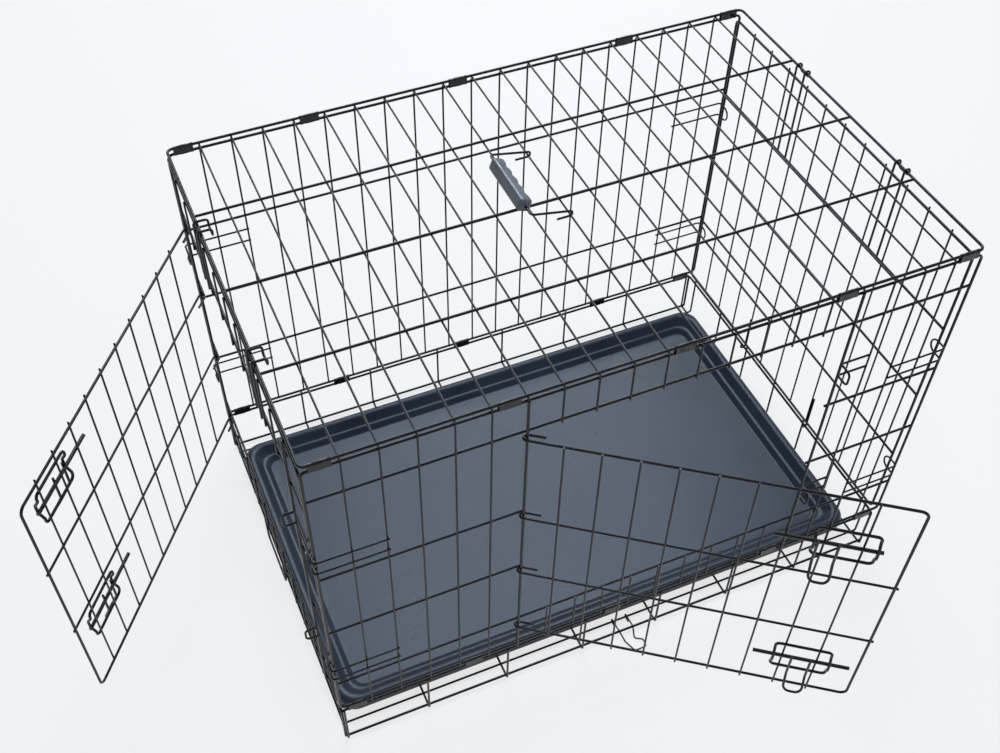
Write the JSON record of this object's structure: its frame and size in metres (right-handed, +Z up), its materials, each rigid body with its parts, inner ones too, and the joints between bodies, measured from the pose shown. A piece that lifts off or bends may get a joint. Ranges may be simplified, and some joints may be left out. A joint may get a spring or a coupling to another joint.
{
  "type": "pet transport crate",
  "caption": "Folding wire crate for a pet with a front door, an end door, slide-bolt latches, a slide-out plastic tray and a carry handle.",
  "frame": {"origin": "middle of the base on the floor", "axes": "+X along the length away from the end door, -Y to the front door's side, +Z up"},
  "size_m": [1.2218, 0.8912, 0.6706],
  "materials": {
    "wire": "semi-gloss black coat",
    "clip": "satin dark grey coat",
    "tray": "fine grain slate grey",
    "grip": "satin slate grey"
  },
  "bodies": {
    "cage": {"base_floor": "wire", "base_front_side": "wire", "base_back_side": "wire", "base_left_bar": "wire", "base_right_side": "wire", "front_hinge_side": "wire", "front_latch_side": "wire", "front_header": "wire", "front_sill": "wire", "front_staples": "wire", "front_left_pins": "wire", "front_right_pins": "wire", "back_left_pins": "wire", "back_right_pins": "wire", "back_panel": "wire", "top_panel": "wire", "clip_top_front_1": "clip", "clip_top_front_2": "clip", "clip_top_front_3": "clip", "clip_top_front_4": "clip", "clip_top_front_5": "clip", "clip_top_back_1": "clip", "clip_top_back_2": "clip", "clip_top_back_3": "clip", "clip_top_back_4": "clip", "clip_top_back_5": "clip", "clip_bottom_front_1": "clip", "clip_bottom_front_2": "clip", "clip_bottom_front_3": "clip", "clip_bottom_front_4": "clip", "clip_bottom_front_5": "clip", "clip_bottom_back_1": "clip", "clip_bottom_back_2": "clip", "clip_bottom_back_3": "clip", "clip_bottom_back_4": "clip", "clip_bottom_back_5": "clip"},
    "left_end": {"left_end_hinge_side": "wire", "left_end_latch_side": "wire", "left_end_header": "wire", "left_end_sill": "wire", "left_end_staples": "wire", "left_end_hooks": "wire"},
    "right_end": {"right_end_panel": "wire", "right_end_hooks": "wire"},
    "front_door": {"front_door": "wire", "front_upper_guide": "wire", "front_lower_guide": "wire"},
    "end_door": {"end_door": "wire", "end_upper_guide": "wire", "end_lower_guide": "wire"},
    "front_upper_bolt": {"front_upper_bolt": "wire"},
    "front_lower_bolt": {"front_lower_bolt": "wire"},
    "end_upper_bolt": {"end_upper_bolt": "wire"},
    "end_lower_bolt": {"end_lower_bolt": "wire"},
    "tray": {"tray": "tray"},
    "handle": {"handle_bail": "wire", "handle_grip": "grip"},
    "swing_bail": {"swing_bail": "wire"},
    "fold_hook": {"fold_hook": "wire"}
  },
  "joints": [
    {"name": "left_end_fold", "type": "hinge", "parent": "cage", "child": "left_end", "pos_m": [-0.455, 0, 0.083], "axis": [0, 1, 0], "range_deg": [0, 88]},
    {"name": "right_end_fold", "type": "hinge", "parent": "cage", "child": "right_end", "pos_m": [0.4462, 0, 0.083], "axis": [0, 1, 0], "range_deg": [-88, 0]},
    {"name": "front_door_hinge", "type": "hinge", "parent": "cage", "child": "front_door", "pos_m": [-0.182, -0.3036, 0.36], "axis": [0, 0, 1], "range_deg": [-114, 36]},
    {"name": "end_door_hinge", "type": "hinge", "parent": "left_end", "child": "end_door", "pos_m": [-0.45925, 0.24542, 0.34], "axis": [0, 0, 1], "range_deg": [-114, 36]},
    {"name": "front_upper_bolt_slide", "type": "slide", "parent": "front_door", "child": "front_upper_bolt", "axis": [0.809, -0.5878, 0], "range_m": [0, 0.04]},
    {"name": "front_lower_bolt_slide", "type": "slide", "parent": "front_door", "child": "front_lower_bolt", "axis": [0.809, -0.5878, 0], "range_m": [-0.02, 0.02]},
    {"name": "end_upper_bolt_slide", "type": "slide", "parent": "end_door", "child": "end_upper_bolt", "axis": [-0.5878, -0.809, 0], "range_m": [0, 0.04]},
    {"name": "end_lower_bolt_slide", "type": "slide", "parent": "end_door", "child": "end_lower_bolt", "axis": [-0.5878, -0.809, 0], "range_m": [0, 0.04]},
    {"name": "tray_slide", "type": "slide", "parent": "cage", "child": "tray", "axis": [1, 0, 0], "range_m": [-0.6, 0]},
    {"name": "handle_lift", "type": "hinge", "parent": "cage", "child": "handle", "pos_m": [0, 0.036, 0.644], "axis": [0, 1, 0], "range_deg": [0, 135]},
    {"name": "swing_bail_hinge", "type": "hinge", "parent": "cage", "child": "swing_bail", "pos_m": [-0.455, 0.018, 0.083], "axis": [0, 1, 0], "range_deg": [0, 100]},
    {"name": "fold_hook_hinge", "type": "hinge", "parent": "cage", "child": "fold_hook", "pos_m": [0.008, -0.2799, 0.0047], "axis": [-1, 0, 0], "range_deg": [0, 90]}
  ]
}
